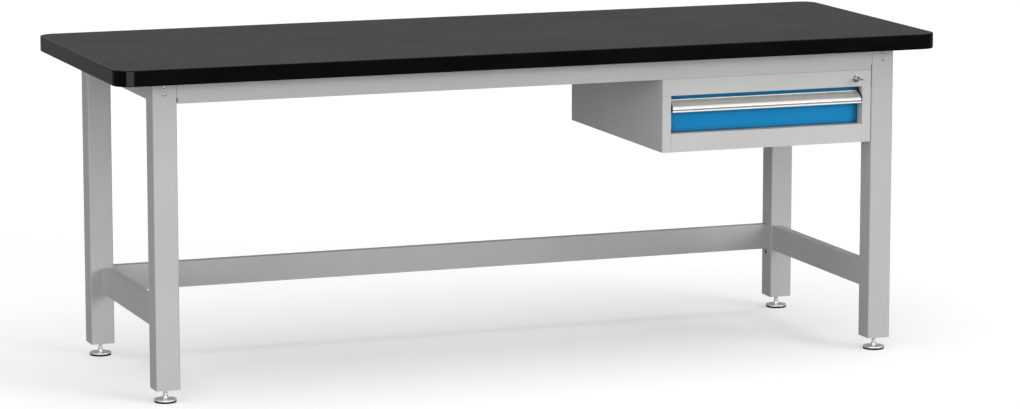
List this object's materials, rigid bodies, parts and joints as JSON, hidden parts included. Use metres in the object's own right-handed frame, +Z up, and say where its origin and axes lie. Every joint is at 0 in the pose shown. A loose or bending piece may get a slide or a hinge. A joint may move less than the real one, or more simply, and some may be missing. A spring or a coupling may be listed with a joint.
{
  "type": "workbench with drawer",
  "caption": "Steel-framed workbench with a thick dark laminate worktop, levelling feet and a hanging lockable drawer cabinet with a full-width handle.",
  "frame": {"origin": "on the floor, under the middle of the worktop", "axes": "+X to the right along the bench, +Y to the rear, +Z up; the drawer opens towards -Y"},
  "size_m": [2.2, 0.8, 0.84],
  "materials": {
    "chipboard": "particle board core of the worktop",
    "laminate": "satin dark grey laminate with a fine orange-peel texture",
    "backing": "grey backing sheet under the worktop",
    "edge_band": "glossy black plastic edge band",
    "frame_paint": "light grey powder coat, satin",
    "cabinet_paint": "light grey powder coat, satin",
    "drawer_blue": "bright blue powder coat, satin",
    "drawer_grey": "light grey powder coat, satin",
    "aluminium": "anodised extruded aluminium, fine lines along its length",
    "label": "light grey label cover",
    "black_plastic": "moulded black plastic, fine texture",
    "zinc": "zinc plated steel, slightly dull",
    "foot_zinc": "satin zinc plated turned steel",
    "insert_steel": "plain steel",
    "slide_zinc": "zinc plated rolled steel",
    "chrome": "polished chrome",
    "key_steel": "nickel plated key, tumbled",
    "rubber": "moulded black rubber"
  },
  "bodies": {
    "frame": {"worktop_core": "chipboard", "worktop_laminate": "laminate", "worktop_edge_band": "edge_band", "leg_front_left": "frame_paint", "leg_front_right": "frame_paint", "leg_rear_left": "frame_paint", "leg_rear_right": "frame_paint", "front_rail": "frame_paint", "rail_fixing_front_left": "zinc", "rail_fixing_front_right": "zinc", "rear_rail": "frame_paint", "rail_fixing_rear_left": "zinc", "rail_fixing_rear_right": "zinc", "side_rail_left": "frame_paint", "side_stretcher_left": "frame_paint", "side_rail_right": "frame_paint", "side_stretcher_right": "frame_paint", "rear_stretcher": "frame_paint", "stretcher_fixing_left": "zinc", "stretcher_fixing_right": "zinc", "leg_insert_front_left": "insert_steel", "leg_insert_front_right": "insert_steel", "leg_insert_rear_left": "insert_steel", "leg_insert_rear_right": "insert_steel", "cabinet_top_housing": "cabinet_paint", "cabinet_bottom": "cabinet_paint", "cabinet_back": "cabinet_paint", "cabinet_side_left": "cabinet_paint", "cabinet_hanger_left": "cabinet_paint", "cabinet_side_right": "cabinet_paint", "cabinet_hanger_right": "cabinet_paint", "slide_outer_left": "slide_zinc", "slide_outer_right": "slide_zinc", "lock_housing": "chrome", "lock_nut": "zinc"},
    "drawer": {"drawer_front": "drawer_blue", "drawer_box": "drawer_grey", "drawer_handle": "aluminium", "label_strip": "label", "handle_end_cap_left": "black_plastic", "handle_end_cap_right": "black_plastic", "slide_inner_left": "slide_zinc", "slide_inner_right": "slide_zinc"},
    "slide_left": {"slide_middle_left": "slide_zinc"},
    "slide_right": {"slide_middle_right": "slide_zinc"},
    "lock": {"lock_plug": "chrome", "lock_cam": "zinc"},
    "key": {"lock_key": "key_steel"},
    "foot_front_left": {"foot_disc_front_left": "foot_zinc", "foot_pad_front_left": "rubber"},
    "spindle_front_left": {"foot_spindle_front_left": "foot_zinc"},
    "foot_front_right": {"foot_disc_front_right": "foot_zinc", "foot_pad_front_right": "rubber"},
    "spindle_front_right": {"foot_spindle_front_right": "foot_zinc"},
    "foot_rear_left": {"foot_disc_rear_left": "foot_zinc", "foot_pad_rear_left": "rubber"},
    "spindle_rear_left": {"foot_spindle_rear_left": "foot_zinc"},
    "foot_rear_right": {"foot_disc_rear_right": "foot_zinc", "foot_pad_rear_right": "rubber"},
    "spindle_rear_right": {"foot_spindle_rear_right": "foot_zinc"}
  },
  "joints": [
    {"name": "drawer_slide", "type": "slide", "parent": "frame", "child": "drawer", "axis": [0, -1, 0], "range_m": [0, 0.5]},
    {"name": "slide_left_travel", "type": "slide", "parent": "frame", "child": "slide_left", "axis": [0, -1, 0], "range_m": [0, 0.25]},
    {"name": "slide_right_travel", "type": "slide", "parent": "frame", "child": "slide_right", "axis": [0, -1, 0], "range_m": [0, 0.25]},
    {"name": "lock_turn", "type": "hinge", "parent": "frame", "child": "lock", "pos_m": [0.8903, -0.345, 0.7245], "axis": [0, -1, 0], "range_deg": [0, 90]},
    {"name": "key_withdraw", "type": "slide", "parent": "lock", "child": "key", "axis": [0, -1, 0], "range_m": [0, 0.025]},
    {"name": "foot_front_left_height", "type": "slide", "parent": "frame", "child": "foot_front_left", "axis": [0, 0, -1], "range_m": [-0.009, 0.021]},
    {"name": "spindle_front_left_turn", "type": "hinge", "parent": "foot_front_left", "child": "spindle_front_left", "pos_m": [-0.966, -0.314, 0.03], "axis": [0, 0, -1], "range_deg": [-2160, 5040]},
    {"name": "foot_front_right_height", "type": "slide", "parent": "frame", "child": "foot_front_right", "axis": [0, 0, -1], "range_m": [-0.009, 0.021]},
    {"name": "spindle_front_right_turn", "type": "hinge", "parent": "foot_front_right", "child": "spindle_front_right", "pos_m": [0.966, -0.314, 0.03], "axis": [0, 0, -1], "range_deg": [-2160, 5040]},
    {"name": "foot_rear_left_height", "type": "slide", "parent": "frame", "child": "foot_rear_left", "axis": [0, 0, -1], "range_m": [-0.009, 0.021]},
    {"name": "spindle_rear_left_turn", "type": "hinge", "parent": "foot_rear_left", "child": "spindle_rear_left", "pos_m": [-0.966, 0.314, 0.03], "axis": [0, 0, -1], "range_deg": [-2160, 5040]},
    {"name": "foot_rear_right_height", "type": "slide", "parent": "frame", "child": "foot_rear_right", "axis": [0, 0, -1], "range_m": [-0.009, 0.021]},
    {"name": "spindle_rear_right_turn", "type": "hinge", "parent": "foot_rear_right", "child": "spindle_rear_right", "pos_m": [0.966, 0.314, 0.03], "axis": [0, 0, -1], "range_deg": [-2160, 5040]}
  ],
  "couplings": [
    {"joint": "slide_left_travel", "follows": "drawer_slide", "ratio": 0.5},
    {"joint": "slide_right_travel", "follows": "drawer_slide", "ratio": 0.5},
    {"joint": "spindle_front_left_turn", "follows": "foot_front_left_height", "rad_per_m": 4188.8},
    {"joint": "spindle_front_right_turn", "follows": "foot_front_right_height", "rad_per_m": 4188.8},
    {"joint": "spindle_rear_left_turn", "follows": "foot_rear_left_height", "rad_per_m": 4188.8},
    {"joint": "spindle_rear_right_turn", "follows": "foot_rear_right_height", "rad_per_m": 4188.8}
  ]
}
